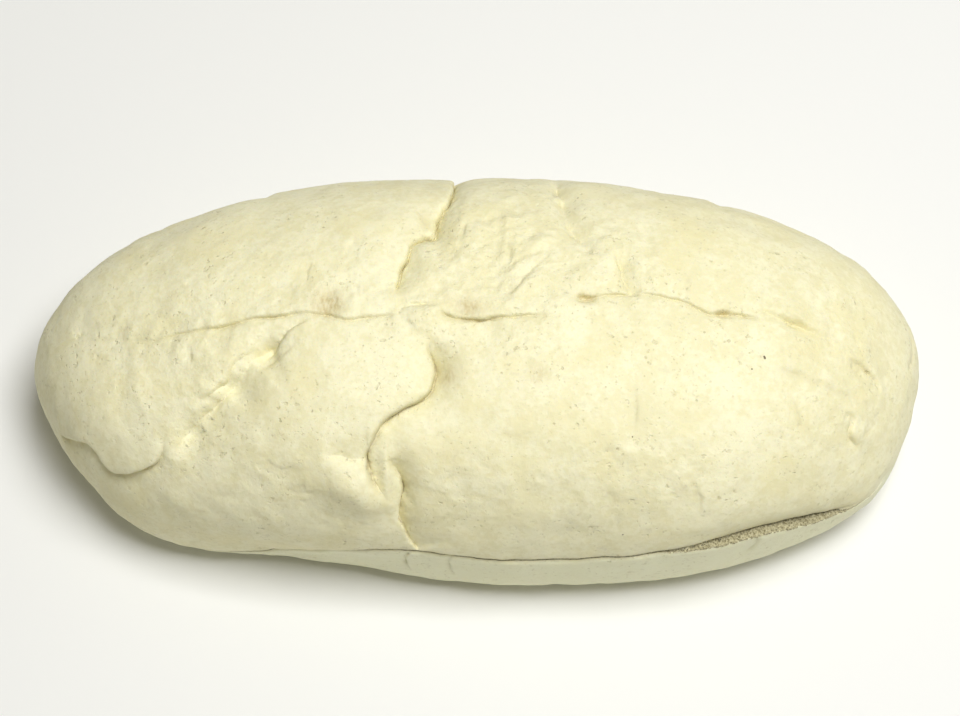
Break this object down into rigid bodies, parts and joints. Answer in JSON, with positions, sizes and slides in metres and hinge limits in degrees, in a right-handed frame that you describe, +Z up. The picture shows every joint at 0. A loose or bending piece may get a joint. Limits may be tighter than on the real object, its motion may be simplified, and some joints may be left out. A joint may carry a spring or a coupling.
{
  "type": "side-slit white bread roll",
  "caption": "Long soft white bread roll with a pale, wrinkled crust, pinched round its waist and slit along one long side for a filling.",
  "frame": {"origin": "centre of the roll's plan box, on the surface that it lies on", "axes": "+X along the roll, +Y away from its slit side, +Z up through its crown"},
  "size_m": [0.1756, 0.0818, 0.0501],
  "materials": {
    "pale_crust": "matt, dry, very pale cream crust with fine wrinkles and specks",
    "torn_crumb": "rough, dry, open crumb in the mouth of the slit"
  },
  "bodies": {
    "root": {"bread_roll": "pale_crust"}
  },
  "joints": []
}
